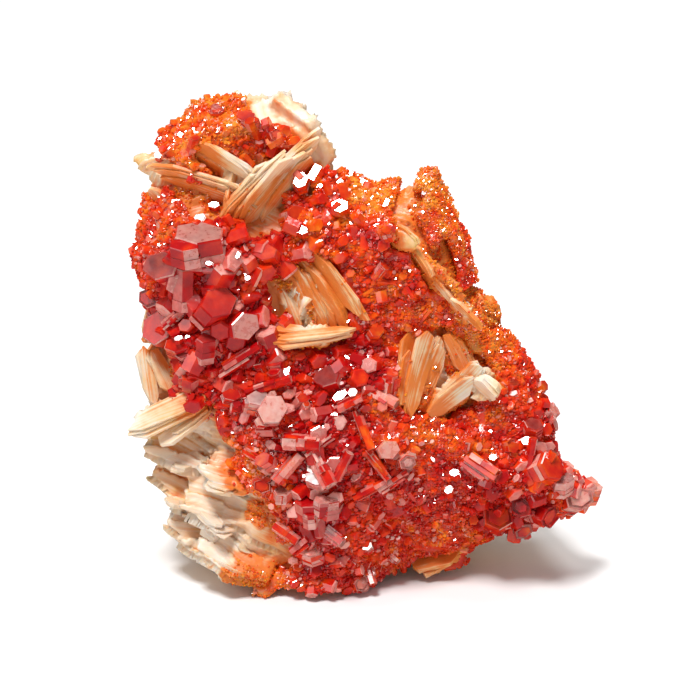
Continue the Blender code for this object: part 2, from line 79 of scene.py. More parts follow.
def linked(name, data):
    """A new object of the scene, at the origin."""
    made = bpy.data.objects.new(name, data)
    bpy.context.scene.collection.objects.link(made)
    return made


def new_piece(name, bm):
    """The piece that a finished bmesh makes."""
    mesh = bpy.data.meshes.new(name)
    bm.to_mesh(mesh)
    bm.free()
    return linked(name, mesh)


def remesh(piece, voxel):
    """Gives a piece an even skin of small faces, each this many mm across."""
    modifier = piece.modifiers.new("Even skin", "REMESH")
    modifier.mode = "VOXEL"
    modifier.voxel_size = voxel * MM
    graph = bpy.context.evaluated_depsgraph_get()
    mesh = bpy.data.meshes.new_from_object(piece.evaluated_get(graph))
    piece.modifiers.clear()
    piece.data = mesh


def mark(mesh, name, values, domain="POINT"):
    """Keeps a number for each point or face of a mesh, for its material to read."""
    attribute = mesh.attributes.new(name, "FLOAT", domain)
    attribute.data.foreach_set("value", np.asarray(values, np.float32))


def clamped(value):
    """A value kept between 0 and 1."""
    return min(1.0, max(0.0, value))


noise.seed_set(6)  # otherwise each run would turn the sheets another way
BLOCK = 11.0  # mm across a block of parallel sheets
SHEET = 0.75  # mm from one sheet to the next
LEDGE = 1.4  # mm that a sheet may stand out
WAVE, BEND = 6.0, 0.9  # mm: how long the waves of the bent sheets are, and how far they bend
BACK = -16.0  # mm out of the show face: what lies behind this is the broken back
FLANK_SHEETS = Vector((0.36, 0.90, 0.25)).normalized()  # across the sheets of the left flank


def on_left_flank(place):
    """Whether a place on the face is on the broken flank at its lower left."""
    return place.x < -6 and place.y < 30 and place.z > BACK


def sheets_at(place):
    """The block that a place on the face lies in, and the direction across its sheets."""
    block = noise.voronoi(place / BLOCK)[1][0]
    facing = noise.noise_vector(block * 5.3).normalized()  # another direction for each block
    if on_left_flank(place):
        facing = (FLANK_SHEETS + facing * 0.12).normalized()
    return block, facing


def barite_relief(place):
    """How far the broken edge of a sheet stands out here, and the height in its stack, in mm."""
    bent = place + noise.noise_vector(place / WAVE) * BEND
    block, facing = sheets_at(bent)
    height = bent.dot(facing) / SHEET
    layer = math.floor(height)
    ledge = 0.8 * noise.noise(Vector((layer * 1.7, block.x * 3.1, block.y * 2.3)))
    slope = 0.35 * (height - layer - 0.5)
    return LEDGE * (ledge + slope), height * SHEET


crust_names = ("vanadinite_crust", "vanadinite_crown_crust", "vanadinite_shoulder_crust")
crust_trees = [BVHTree.FromBMesh(merged_copy(name)) for name in crust_names]


def nearest_crust(point):
    """Distance in mm from a point to the nearest vanadinite."""
    return min(tree.find_nearest(point)[3] for tree in crust_trees) / MM


DUSTED = [
    # across, up, reach in mm: bare barite that is powdered all over with orange grains
    (8.0, 32.0, 2.0), (10.8, 31.6, 1.8), (13.6, 30.4, 1.8), (9.0, 27.0, 1.6), (-7.8, 41.4, 1.6),
    (-4.0, 37.2, 1.4), (-17.0, 50.6, 2.0), (-12.6, 49.4, 1.6),
    (12.0, 44.2, 4.0), (14.6, 40.4, 3.6), (17.4, 36.6, 3.6), (19.6, 34.0, 3.0), (9.6, 50.0, 2.6),
    (13.4, 32.6, 2.4), (11.9, 44.4, 3.4), (-13.0, 3.0, 3.4), (-9.4, 3.0, 3.0), (-10.4, 17.0, 2.4),
    (-11.6, 12.4, 1.8), (7.0, 24.6, 2.0), (-8.4, 35.4, 1.4), (-20.0, 51.6, 1.8), (-22.6, 29.0, 1.8),
]


def dusted(place):
    """How thickly the barite at a place on the face is powdered, from 0 to 1."""
    ragged = 1 + 0.9 * noise.noise(place / 1.4)
    near = max(
        math.exp(-(((place.x - across) ** 2 + (place.y - up) ** 2) * ragged / reach ** 2) ** 2)
        for across, up, reach in DUSTED
    )
    forward = 9 + 5 * noise.noise(place / 3.0) + place.z / 1.6  # below 0 towards the back
    return near * clamped(forward / 3)


def on_crown_plate(place):
    """Whether a place on the face is on the smooth plate at the top of the crown."""
    return place.x > -15 and place.y > 54


LUMP_SKIN = 0.34  # mm across a face of the lump
CALM = 2.0  # mm round the crusts, in which the edges of the sheets flatten out
STAIN_REACH, PLATE_STAIN_REACH = 1.5, 0.7  # mm that iron stains spread from the crusts

lump = new_piece("barite_lump", merged_copy("barite_matrix"))
remesh(lump, LUMP_SKIN)
stains_and_shade, layers = [], []
for vertex, normal in zip(lump.data.vertices, [n.vector.copy() for n in lump.data.vertex_normals]):
    place = on_face(vertex.co)
    reach = nearest_crust(vertex.co)
    calm = clamped(reach / CALM)
    relief, height = barite_relief(place)
    frontal = clamped(0.6 + 1.5 * (FACE.transposed() @ normal).z)
    crown_plate = on_crown_plate(place) and frontal == 1.0
    if crown_plate:
        calm *= 0.2
        height *= 0.12
    vertex.co += normal * relief * calm * MM
    vertex.co.z = max(vertex.co.z, 0.0)
    crevice = 0.5 * clamped(-relief / 0.7) * calm
    near = math.exp(-max(0.0, reach - 0.4) / (PLATE_STAIN_REACH if crown_plate else STAIN_REACH))
    powdered = 1.4 * frontal * dusted(place)
    # On the crown plate the value never falls below 0.30: painted shade that dims the plate at the top,
    # which the lamps light most.
    stains_and_shade.append(max(near, powdered, crevice, 0.30 if crown_plate else 0.0))
    layers.append(height)
mark(lump.data, "stain_and_shade", stains_and_shade)
mark(lump.data, "layer", layers)
lump.data.shade_smooth()


def shader(name, **constants):
    """A material with its Principled shader, whose plain values are set on its own sockets."""
    made = bpy.data.materials.new(name)
    made.use_nodes = True
    principled = made.node_tree.nodes["Principled BSDF"]
    for socket, value in constants.items():
        principled.inputs[socket.replace("_", " ")].default_value = value
    return made, made.node_tree.nodes, made.node_tree.links, principled


def ramp(nodes, *stops):
    """A colour ramp from (position, (r, g, b)) stops."""
    made = nodes.new("ShaderNodeValToRGB")
    elements = made.color_ramp.elements
    while len(elements) < len(stops):
        elements.new(0.5)
    for element, (position, colour) in zip(elements, stops):
        element.position = position
        element.color = (*colour, 1.0)
    return made


def scaled_noise(nodes, links, scale, detail=4.0):
    """Noise on Object coordinates, with this many lumps to the metre."""
    coordinates = nodes.new("ShaderNodeTexCoord")
    made = nodes.new("ShaderNodeTexNoise")
    made.inputs["Scale"].default_value = scale
    made.inputs["Detail"].default_value = detail
    links.new(coordinates.outputs["Object"], made.inputs["Vector"])
    return made


def math_node(nodes, links, operation, first, second, third=0.0):
    """A Math node whose inputs are numbers or other nodes' outputs."""
    made = nodes.new("ShaderNodeMath")
    made.operation = operation
    for socket, value in zip(made.inputs, (first, second, third)):
        if isinstance(value, bpy.types.NodeSocket):
            links.new(value, socket)
        else:
            socket.default_value = value
    return made.outputs[0]


def own_number(nodes, name):
    """The number that each point or face of a mesh keeps under this name."""
    made = nodes.new("ShaderNodeAttribute")
    made.attribute_name = name
    return made.outputs["Fac"]


def barite_material():
    """Cream and peach, pearly, finely layered, with golden iron stains near the crusts."""
    made, nodes, links, principled = shader(
        "barite", Roughness=0.42, Subsurface_Weight=0.35, IOR=1.64,
        Subsurface_Scale=1.2 * MM, Subsurface_Radius=(1.0, 0.7, 0.45),
    )
    layered = nodes.new("ShaderNodeTexNoise")
    layered.noise_dimensions = "1D"
    layered.inputs["Scale"].default_value = 3.2
    layered.inputs["Detail"].default_value = 5.0
    links.new(own_number(nodes, "layer"), layered.inputs["W"])
    broad = scaled_noise(nodes, links, 130)
    mixed = math_node(nodes, links, "MULTIPLY_ADD", layered.outputs["Fac"], 0.32, broad.outputs["Fac"])
    cream = ramp(
        nodes, (0.50, (0.90, 0.78, 0.66)), (0.64, (0.90, 0.70, 0.53)), (0.74, (0.88, 0.60, 0.40)),
        (0.86, (0.88, 0.50, 0.17)),
    )
    links.new(mixed, cream.inputs["Fac"])
    fine = scaled_noise(nodes, links, 300, 6.0)
    near = math_node(nodes, links, "MULTIPLY_ADD", own_number(nodes, "stain_and_shade"), 0.75, -0.34)
    ragged = math_node(nodes, links, "ADD", near, fine.outputs["Fac"])
    seams = math_node(nodes, links, "MULTIPLY_ADD", layered.outputs["Fac"], 0.5, ragged)
    amount = nodes.new("ShaderNodeMapRange")
    amount.inputs["From Min"].default_value = 0.50
    amount.inputs["From Max"].default_value = 0.92
    links.new(seams, amount.inputs["Value"])
    stained_and_shaded = nodes.new("ShaderNodeMix")
    stained_and_shaded.data_type = "RGBA"
    # The golden colour of the iron stains; on the crown plate it is also painted shade.
    rust_and_shade = ramp(nodes, (0.35, (0.90, 0.50, 0.13)), (0.9, (0.84, 0.22, 0.03)))
    links.new(amount.outputs["Result"], stained_and_shaded.inputs["Factor"])
    links.new(amount.outputs["Result"], rust_and_shade.inputs["Fac"])
    links.new(rust_and_shade.outputs["Color"], stained_and_shaded.inputs["B"])
    links.new(cream.outputs["Color"], stained_and_shaded.inputs["A"])
    links.new(stained_and_shaded.outputs["Result"], principled.inputs["Base Color"])
    grain = scaled_noise(nodes, links, 1500, 8.0)
    height = math_node(nodes, links, "MULTIPLY_ADD", layered.outputs["Fac"], 1.3, grain.outputs["Fac"])
    bump = nodes.new("ShaderNodeBump")
    bump.inputs["Strength"].default_value = 0.45
    bump.inputs["Distance"].default_value = 0.10 * MM
    links.new(height, bump.inputs["Height"])
    links.new(bump.outputs["Normal"], principled.inputs["Normal"])
    return made


barite = barite_material()
lump.data.materials.append(barite)
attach(lump, "root")
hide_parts("barite_matrix")


# ---------------------------------------------------------------- The barite tablets
# Thin plates of barite that stand in sheaves in the hollows and fan out of the broken flanks.
# Each is a pack of thin parallel sheets of unequal length, grown out of the lump.

SHEAVES = [
    # across, up, lift, length, width, thickness in mm, heading, tip, roll in degrees, sheets
    (-12.9, 51.2, 1.3, 12.0, 3.6, 1.2, 48, 10, 62, 4), (-11.2, 51.6, 1.2, 11.5, 3.4, 1.0, 49, 10, 64, 3),
    (-9.6, 52.2, 1.0, 11.0, 3.6, 1.0, 50, 8, 62, 3), (-8.0, 52.6, 0.6, 10.0, 3.4, 1.1, 52, 8, 60, 3),
    (-14.6, 52.6, 0.6, 6.4, 2.0, 0.8, 84, -8, 66, 2), (-15.9, 52.8, 0.4, 5.4, 1.8, 0.7, 98, -4, 60, 2),
    (-19.2, 53.6, 1.0, 12.0, 2.4, 0.9, -16, 6, 64, 3), (-18.2, 52.4, 0.6, 12.0, 2.4, 0.8, -20, 4, 60, 2),
    (-15.4, 55.8, 0.8, 9.0, 2.2, 0.9, -30, -2, 58, 3), (-12.8, 57.4, 0.6, 8.0, 2.4, 0.9, -34, -2, 50, 2),
    (-22.6, 50.8, 0.4, 6.0, 2.0, 0.8, -38, 4, 56, 2), (-7.2, 55.6, 0.2, 9.0, 3.0, 1.0, 44, 0, 54, 3),
    (-6.6, 39.0, 0.0, 9.0, 3.0, 0.9, -62, -6, 40, 3), (-5.0, 39.2, 0.2, 10.5, 3.0, 1.0, -58, -4, 44, 4),
    (-3.4, 39.8, 0.3, 10.5, 2.8, 1.0, -56, -4, 48, 3), (-1.8, 40.8, 0.1, 9.0, 2.4, 0.8, -54, 2, 52, 3),
    (-7.8, 38.0, -0.1, 7.0, 2.8, 0.8, -68, -6, 34, 2), (-4.6, 34.1, 0.8, 9.5, 2.2, 0.9, 5, 0, -52, 3),
    (-7.6, 34.8, 0.4, 4.8, 2.0, 0.8, -12, 0, -48, 2), (-0.8, 37.2, 0.2, 6.0, 2.0, 0.8, -48, 4, 44, 2),
    (-5.4, 42.6, 0.2, 5.0, 1.8, 0.8, -50, 4, 50, 2), (8.4, 44.0, 0.5, 7.6, 1.2, 0.6, -56, 6, 66, 2),
    (11.2, 40.2, 0.6, 8.4, 1.3, 0.6, -50, 6, 64, 2), (14.0, 37.2, 0.3, 6.4, 1.2, 0.6, -44, 6, 60, 2),
    (7.0, 46.6, 0.1, 4.0, 1.2, 0.6, -44, 8, 46, 2), (5.8, 44.4, 0.3, 4.2, 1.8, 0.7, -8, 8, 40, 2),
    (6.9, 29.6, 0.3, 9.0, 2.6, 0.9, 82, -6, 42, 3), (8.2, 29.0, 0.2, 10.0, 3.0, 0.9, 76, -4, 38, 3),
    (9.8, 29.6, 0.1, 8.4, 3.2, 0.9, 68, -2, 32, 3), (12.6, 27.0, 0.9, 8.4, 3.2, 1.3, 42, 10, 30, 3),
    (14.4, 28.8, 0.5, 5.0, 2.4, 0.8, 50, 6, 20, 2), (16.8, 28.2, 0.9, 4.0, 2.4, 1.5, -32, 8, 60, 3),
    (13.4, 32.0, 0.4, 6.4, 2.6, 0.9, -60, -4, 32, 3), (11.8, 33.4, 0.2, 5.0, 2.2, 0.8, -76, -4, 36, 2),
    (-22.2, 24.9, 1.7, 11.6, 3.4, 1.3, 22, 6, -24, 3), (-20.4, 23.4, 1.0, 7.0, 2.6, 1.0, 30, 6, -36, 2),
    (-25.4, 29.8, 0.9, 7.8, 2.4, 0.9, 97, -6, 24, 2), (-23.4, 29.6, 0.8, 7.6, 2.6, 0.9, 116, -4, 28, 2),
    (-24.0, 33.0, 0.2, 5.0, 2.4, 0.9, 60, -4, 30, 2), (-24.8, 36.0, -0.6, 6.0, 2.4, 1.0, 72, 0, 30, 2),
    (11.0, 5.4, 0.0, 7.0, 3.0, 1.2, 14, 0, -44, 3), (15.6, 33.6, 0.5, 4.6, 2.0, 0.9, -70, 4, 50, 2),
]


def tree_of(piece):
    """What a piece is searched with, for its nearest or first point."""
    bm = bmesh.new()
    bm.from_mesh(piece.data)
    return BVHTree.FromBMesh(bm)


lump_tree = tree_of(lump)
CLEAR = 60  # mm out of the face, in front of everything


def seen_at(trees, across, up):
    """The first point of some surfaces that shows at a place on the face."""
    start = face_point(across, up, CLEAR)
    back = FACE @ Vector((0, 0, -1))
    hits = [tree.ray_cast(start, back) for tree in trees]
    hits = [hit for hit in hits if hit[0] is not None]
    return min(hits, key=lambda hit: hit[3])[0] if hits else None


def sheaf(bm, matrix, size, sheets, chance):
    """Adds a pack of thin sheets with slanted ends, long along X and stacked along Z."""
    layer = bm.verts.layers.float["layer"]
    first = chance.uniform(0, 50)
    length, width, thickness = size
    step = thickness / sheets
    for index in range(sheets):
        middle = (index - (sheets - 1) / 2) * step
        made = bmesh.ops.create_cone(
            bm, cap_ends=True, segments=8, radius1=0.5, radius2=chance.uniform(0.42, 0.47), depth=1,
            matrix=Matrix.Rotation(math.radians(22.5), 4, "Z"),
        )["verts"]
        long = length * chance.uniform(0.72, 1.05)
        wide = width * chance.uniform(0.75, 1.1)
        slide = length * chance.uniform(-0.08, 0.08)
        for vert in made:
            x, y, z = vert.co
            x = math.copysign(0.50 if abs(x) > 0.3 else 0.27, x)
            y = math.copysign(0.48 if abs(y) > 0.3 else 0.20, y)
            ragged = 1 + 0.35 * noise.noise(Vector((x * 3 + index * 7, y * 3, long)))
            vert[layer] = first + y * wide + 1.7 * index + z
            vert.co = Vector((
                x * long * ragged + slide + 0.18 * long * y,
                y * wide * ragged + 0.03 * length * math.sin(3 * x + index),
                z * step * 1.3 + middle + 0.4 * step * math.sin(3 * x),
            )) * MM
        bmesh.ops.transform(bm, matrix=matrix, verts=made)


def laid(heading, tip, roll):
    """A turn on the face: length along heading, far end tipped out, then rolled about it."""
    return (
        FACE @ Matrix.Rotation(math.radians(heading), 3, "Z")
        @ Matrix.Rotation(-math.radians(tip), 3, "Y") @ Matrix.Rotation(math.radians(roll), 3, "X")
    )


SHEAF_ROOT = 0.5  # mm that a sheaf is sunk into the lump


def barite_sheaves():
    """The sheaves, as one mesh."""
    chance = random.Random(3)
    bm = bmesh.new()
    bm.verts.layers.float.new("layer")
    for across, up, lift, length, width, thickness, heading, tip, roll, sheets in SHEAVES:
        place = seen_at([lump_tree], across, up)
        if place is None:
            continue
        place += FACE @ Vector((0, 0, lift - SHEAF_ROOT)) * MM
        matrix = Matrix.Translation(place) @ laid(heading, tip, roll).to_4x4()
        sheaf(bm, matrix, (length, width, thickness), sheets, chance)
    return new_piece("barite_sheaves", bm)


SHARD_GAP = 2.5  # mm kept free of shards round the crusts
SHARD_FOOT = 1.5  # mm kept free of them above the ground
SHARD_ROOT = 0.7  # mm that a shard is sunk into the lump


def shards(count):
    """Thin broken sheets on the flanks and the back, laid in the sheets of their block."""
    chance = random.Random(4)
    bm = bmesh.new()
    bm.verts.layers.float.new("layer")
    polygons = lump.data.polygons
    picks = chance.choices(range(len(polygons)), weights=[p.area for p in polygons], k=count)
    for index in picks:
        point, normal = polygons[index].center.copy(), polygons[index].normal.copy()
        place = on_face(point)
        underneath = point.z < SHARD_FOOT * MM or normal.z < -0.3
        if nearest_crust(point) < SHARD_GAP or underneath:
            continue
        if place.z > BACK and (place.y > 20 or chance.random() < 0.8):
            continue
        across_sheets = FACE @ sheets_at(place)[1]
        along = across_sheets.cross(normal)
        if along.length < 0.35:
            continue
        along.normalize()
        turned = Matrix((along, across_sheets.cross(along), across_sheets)).transposed()
        matrix = Matrix.Translation(point - normal * SHARD_ROOT * MM) @ turned.to_4x4()
        size = (chance.uniform(2.5, 6.0), chance.uniform(1.8, 3.6), chance.uniform(0.4, 0.9))
        sheaf(bm, matrix, size, chance.randint(1, 3), chance)
    return new_piece("barite_shards", bm)


tablet_pieces = [barite_sheaves(), shards(900)]
for tablets in tablet_pieces:
    near = [nearest_crust(vertex.co) for vertex in tablets.data.vertices]
    places = [on_face(vertex.co) for vertex in tablets.data.vertices]
    stains_and_shade = [
        max(0.95 * math.exp(-max(0.0, reach - 0.3) / 2.1), 0.7 * dusted(place))
        for reach, place in zip(near, places)
    ]
    mark(tablets.data, "stain_and_shade", stains_and_shade)
    tablets.data.materials.append(barite)
    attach(tablets, "root")
    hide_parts("barite_matrix")


# ---------------------------------------------------------------- The beds of the crusts
# Vanadinite starts as a skin of tiny crystals that closes over the barite. It is what shows
# between the larger crystals: orange where it is thin, deep red where it is thick.

CRUST = 1.2  # mm of crust between its underside and the feet of its crystals
ZONES = np.array([
    # across, up, size of grains and of blocks in mm, share of blocks, tone: orange 0 to crimson 1
    (-16, 60, 0.36, 0.8, 0.25, 0.22), (-24, 56, 0.36, 1.1, 0.30, 0.30), (-9, 58, 0.36, 1.4, 0.50, 0.48),
    (-23, 50, 0.36, 1.0, 0.30, 0.48), (-25, 44, 0.40, 1.1, 0.35, 0.62), (-19, 41, 0.80, 2.8, 0.90, 0.98),
    (-21, 32, 0.70, 2.2, 0.80, 0.88), (-14, 35, 0.70, 2.4, 0.80, 0.98), (-10, 44, 0.55, 2.2, 0.70, 0.72),
    (-3, 50, 0.42, 1.7, 0.45, 0.55), (2, 52, 0.34, 1.0, 0.25, 0.20), (2, 46, 0.40, 1.6, 0.35, 0.55),
    (5, 41, 0.38, 1.2, 0.40, 0.58), (5, 54, 0.30, 0.6, 0.15, 0.12), (11, 53, 0.30, 0.5, 0.10, 0.12),
    (10, 47, 0.28, 0.5, 0.15, 0.30), (14, 42, 0.28, 0.5, 0.30, 0.44), (18, 36, 0.30, 0.6, 0.30, 0.34),
    (22, 30, 0.38, 1.0, 0.45, 0.50), (25, 22, 0.45, 1.6, 0.55, 0.70), (8, 35, 0.30, 0.9, 0.30, 0.44),
    (16, 32, 0.28, 0.5, 0.20, 0.18), (16, 23, 0.36, 1.0, 0.35, 0.56), (10, 22, 0.32, 0.8, 0.25, 0.42),
    (12, 14, 0.34, 0.9, 0.30, 0.72), (20, 14, 0.45, 1.8, 0.50, 0.82), (29, 14, 0.45, 1.8, 0.60, 0.60),
    (12, 8, 0.34, 0.8, 0.40, 0.46), (6, 7, 0.34, 0.9, 0.35, 0.58), (0, 30, 0.50, 2.0, 0.60, 0.90),
    (-8, 27, 0.50, 1.8, 0.60, 0.76), (-3, 22, 0.50, 2.0, 0.60, 0.95), (5, 24, 0.38, 1.2, 0.40, 0.56),
    (-4, 13, 0.50, 2.0, 0.60, 0.95), (3, 13, 0.42, 1.5, 0.40, 0.68), (-2, 4, 0.38, 1.5, 0.50, 0.72),
    (-12, 3, 0.30, 0.6, 0.20, 0.20), (-12, 14, 0.34, 0.9, 0.30, 0.28), (3, 7, 0.38, 1.2, 0.40, 0.60),
])


def zone_at(across, up):
    """Grain size, block size, share of blocks and tone, blended from the nearest zones."""
    weights = 1 / (0.3 + (ZONES[:, 0] - across) ** 2 + (ZONES[:, 1] - up) ** 2) ** 3
    return weights @ ZONES[:, 2:] / weights.sum()


barite_tree = BVHTree.FromBMesh(merged_copy("barite_matrix"))


def vanadinite_growth():
    """What all vanadinite shares: clouds from orange to crimson, and painted pink reflections on duller
    faces.
    """
    group = bpy.data.node_groups.new("vanadinite_growth", "ShaderNodeTree")
    for name in ("Tone", "Painted Pink Reflection", "Polish"):
        group.interface.new_socket(name, in_out="INPUT", socket_type="NodeSocketFloat")
    group.interface.new_socket("Color", in_out="OUTPUT", socket_type="NodeSocketColor")
    for name in ("Roughness", "Height"):
        group.interface.new_socket(name, in_out="OUTPUT", socket_type="NodeSocketFloat")
    nodes, links = group.nodes, group.links
    given, put_out = nodes.new("NodeGroupInput"), nodes.new("NodeGroupOutput")
    cloudy = scaled_noise(nodes, links, 480, 5.0)
    swing = math_node(nodes, links, "MULTIPLY_ADD", cloudy.outputs["Fac"], 1.4, -0.70)
    total = math_node(nodes, links, "ADD", swing, given.outputs["Tone"])
    colour = ramp(
        nodes, (0.0, (0.97, 0.31, 0.030)), (0.22, (0.94, 0.16, 0.010)), (0.48, (0.84, 0.056, 0.006)),
        (0.75, (0.67, 0.015, 0.005)), (1.0, (0.48, 0.004, 0.006)),
    )
    links.new(total, colour.inputs["Fac"])
    pink_patches = scaled_noise(nodes, links, 1500, 6.0)
    patchy = math_node(nodes, links, "MULTIPLY_ADD", pink_patches.outputs["Fac"], 1.6, 0.1)
    painted_pink_reflection = math_node(nodes, links, "MULTIPLY", given.outputs["Painted Pink Reflection"], patchy)
    # Painted pink reflection of the pale surroundings, mixed into the colour of the faces marked for it.
    painted_pink = nodes.new("ShaderNodeMix")
    painted_pink.data_type = "RGBA"
    painted_pink.inputs["B"].default_value = (0.86, 0.43, 0.36, 1)
    links.new(painted_pink_reflection, painted_pink.inputs["Factor"])
    links.new(colour.outputs["Color"], painted_pink.inputs["A"])
    links.new(painted_pink.outputs["Result"], put_out.inputs["Color"])
    dull = math_node(nodes, links, "MULTIPLY_ADD", painted_pink_reflection, 0.35, given.outputs["Polish"])
    links.new(dull, put_out.inputs["Roughness"])
    links.new(scaled_noise(nodes, links, 2200, 4.0).outputs["Fac"], put_out.inputs["Height"])
    return group


growth = vanadinite_growth()


def vanadinite_material(name, polish, soak, grain):
    """Bright and resinous, with light soaking in, and bumps of so many mm for its grain."""
    made, nodes, links, principled = shader(
        name, Subsurface_Weight=soak, IOR=2.2,
        Subsurface_Scale=0.6 * MM, Subsurface_Radius=(1.0, 0.22, 0.12),
    )
    grown = nodes.new("ShaderNodeGroup")
    grown.node_tree = growth
    grown.inputs["Polish"].default_value = polish
    links.new(own_number(nodes, "tone"), grown.inputs["Tone"])
    links.new(own_number(nodes, "painted_pink_reflection"), grown.inputs["Painted Pink Reflection"])
    links.new(grown.outputs["Color"], principled.inputs["Base Color"])
    links.new(grown.outputs["Roughness"], principled.inputs["Roughness"])
    bump = nodes.new("ShaderNodeBump")
    bump.inputs["Strength"].default_value = 0.8
    bump.inputs["Distance"].default_value = grain * MM
    links.new(grown.outputs["Height"], bump.inputs["Height"])
    links.new(bump.outputs["Normal"], principled.inputs["Normal"])
    return made


bed_material = vanadinite_material("vanadinite_druse_bed", polish=0.25, soak=0.6, grain=0.15)
UNDERSIDE = 0.7  # mm from the barite, within which the faces of a crust are its underside
BED_SKIN = 0.42  # mm across a face of a bed


def crust_bed(node):
    """The crust without its crystals: its underside, thickened out to where they stand."""
    bm = merged_copy(node)
    outer = [
        face for face in bm.faces
        if barite_tree.find_nearest(face.calc_center_median())[3] > UNDERSIDE * MM
    ]
    bmesh.ops.delete(bm, geom=outer, context="FACES")
    bm.normal_update()
    outward = bm.verts.layers.float_vector.new("outward")
    for vert in bm.verts:
        vert[outward] = -vert.normal
    grown = bmesh.ops.extrude_face_region(bm, geom=bm.faces[:], use_keep_orig=True)["geom"]
    for item in grown:
        if isinstance(item, bmesh.types.BMVert):
            item.co += item[outward] * CRUST * MM
    bmesh.ops.recalc_face_normals(bm, faces=bm.faces[:])
    bed = new_piece(node.replace("crust", "bed"), bm)
    remesh(bed, BED_SKIN)
    tones = []
    for vertex, normal in zip(bed.data.vertices, [n.vector.copy() for n in bed.data.vertex_normals]):
        place = on_face(vertex.co)
        rough = 0.5 * noise.noise(place / 1.6) + 0.25 * noise.noise(place / 0.6)
        vertex.co += normal * rough * MM
        vertex.co.z = max(vertex.co.z, 0.0)
        tones.append(zone_at(place.x, place.y)[3])
    mark(bed.data, "tone", tones)
    bed.data.shade_smooth()
    bed.data.materials.append(bed_material)
    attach(bed, "root")
    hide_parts(node)
    return bed


beds = {name: crust_bed(name) for name in crust_names}
bed_trees = [tree_of(bed) for bed in beds.values()]


# ---------------------------------------------------------------- The large crystals
# Hexagonal prisms of vanadinite, short and thick, with flat or stepped ends. Each stands in
# a small group of parallel ones, and the groups point every way.

